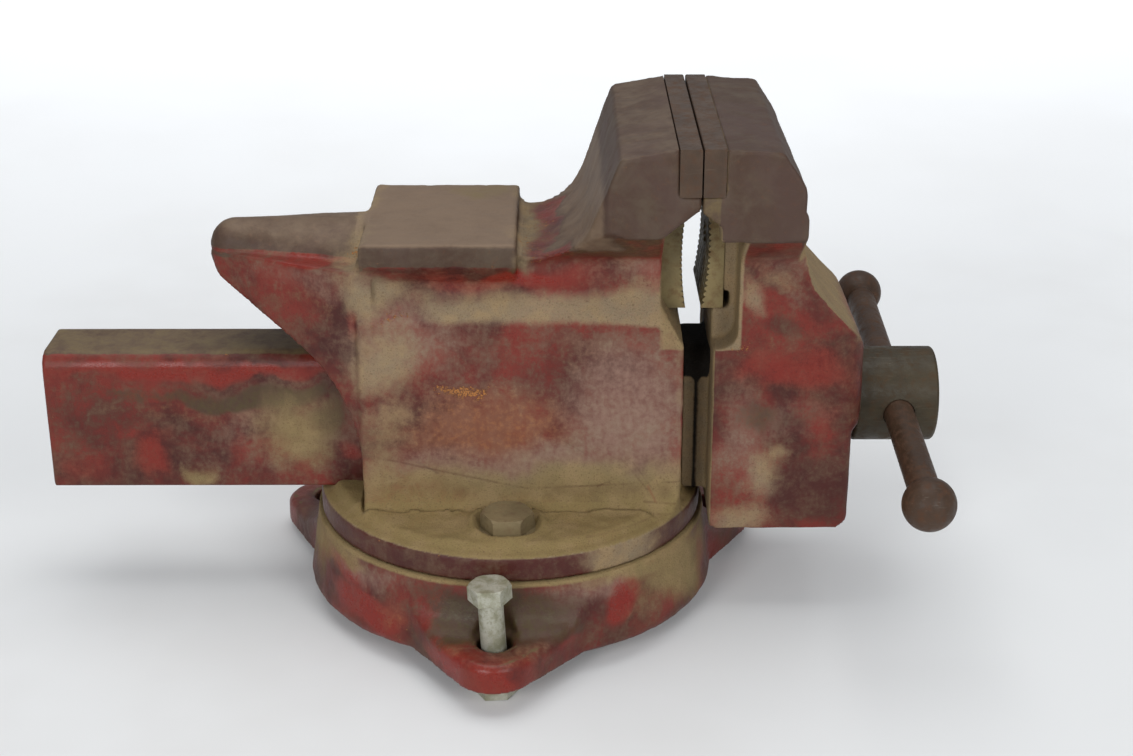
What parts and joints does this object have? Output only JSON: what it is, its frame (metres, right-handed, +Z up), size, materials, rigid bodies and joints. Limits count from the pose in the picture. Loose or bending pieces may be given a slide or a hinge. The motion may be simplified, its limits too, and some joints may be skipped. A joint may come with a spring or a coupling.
{
  "type": "combination bench vise",
  "caption": "Swivel-base bench vise with flat jaws, toothed pipe jaws, an anvil with a horn, a sliding beam and a screw turned by a cross handle.",
  "frame": {"origin": "on the swivel axis, in the plane of the base's bottom rim, which rests on the bench", "axes": "+X from the horn towards the handle, along the beam; +Z up, along the swivel axis; +Y across the jaws"},
  "size_m": [0.467, 0.2826, 0.2675],
  "materials": {
    "base_paint": "worn red paint with dirt and chips",
    "body_paint": "worn red paint under tan dust, bare rusty metal on the working faces",
    "moving_jaw_paint": "worn red paint with grey and orange wear",
    "jaw_steel": "dull grey-green steel",
    "pipe_jaw_steel": "dirty toothed steel",
    "screw_steel": "grey-brown stained steel",
    "handle_steel": "dark rusted steel",
    "lock_steel": "steel under dried dirt",
    "galvanised": "pale galvanised steel",
    "dark_screws": "black oxide steel",
    "nut_iron": "greasy cast iron"
  },
  "bodies": {
    "base": {"swivel_base": "base_paint"},
    "mounting_bolt": {"mounting_bolt": "galvanised", "mounting_nut": "galvanised"},
    "head": {"vise_body": "body_paint", "static_jaw_plate": "jaw_steel", "static_plate_screws": "dark_screws", "static_pipe_jaw": "pipe_jaw_steel", "static_pipe_jaw_screw": "dark_screws", "screw_nut": "nut_iron", "nut_screws": "dark_screws", "front_lock_washer": "lock_steel", "rear_lock_washer": "lock_steel"},
    "front_lock": {"front_lock_bolt": "lock_steel"},
    "front_clamp": {"front_clamp_nut": "lock_steel"},
    "rear_lock": {"rear_lock_bolt": "lock_steel"},
    "rear_clamp": {"rear_clamp_nut": "lock_steel"},
    "moving_jaw": {"moving_jaw": "moving_jaw_paint", "moving_jaw_plate": "jaw_steel", "moving_plate_screws": "dark_screws", "moving_pipe_jaw": "pipe_jaw_steel", "moving_pipe_jaw_screw": "dark_screws"},
    "screw": {"main_screw": "screw_steel", "thrust_washer": "screw_steel", "screw_collar": "screw_steel", "collar_pin": "screw_steel"},
    "handle": {"handle_bar": "handle_steel", "near_handle_ball": "handle_steel", "far_handle_ball": "handle_steel"}
  },
  "joints": [
    {"name": "mounting_bolt_slide", "type": "slide", "parent": "base", "child": "mounting_bolt", "axis": [-0.0523, 0, 0.9986], "range_m": [-0.0235, 0]},
    {"name": "head_swivel", "type": "hinge", "parent": "base", "child": "head", "pos_m": [0, 0, 0.041], "axis": [0, 0, 1], "range_deg": [-60, 235]},
    {"name": "front_lock_turn", "type": "hinge", "parent": "head", "child": "front_lock", "pos_m": [0, -0.0725, 0.06], "axis": [0, 0, 1], "range_deg": [0, 360]},
    {"name": "front_clamp_drop", "type": "slide", "parent": "head", "child": "front_clamp", "axis": [0, 0, -1], "range_m": [0, 0.0024]},
    {"name": "rear_lock_turn", "type": "hinge", "parent": "head", "child": "rear_lock", "pos_m": [0, 0.0725, 0.06], "axis": [0, 0, 1], "range_deg": [0, 360]},
    {"name": "rear_clamp_drop", "type": "slide", "parent": "head", "child": "rear_clamp", "axis": [0, 0, -1], "range_m": [0, 0.0024]},
    {"name": "jaw_slide", "type": "slide", "parent": "head", "child": "moving_jaw", "axis": [1, 0, 0], "range_m": [0, 0.1524]},
    {"name": "screw_turn", "type": "hinge", "parent": "moving_jaw", "child": "screw", "pos_m": [0.15, 0, 0.1006], "axis": [1, 0, 0], "range_deg": [0, 10801]},
    {"name": "handle_slide", "type": "slide", "parent": "screw", "child": "handle", "axis": [0, 0.9962, 0.0872], "range_m": [-0.089, 0.077]}
  ],
  "couplings": [
    {"joint": "screw_turn", "follows": "jaw_slide", "rad_per_m": 1236.8},
    {"joint": "front_clamp_drop", "follows": "front_lock_turn", "m_per_rad": 0.00036765},
    {"joint": "rear_clamp_drop", "follows": "rear_lock_turn", "m_per_rad": 0.00036765}
  ]
}
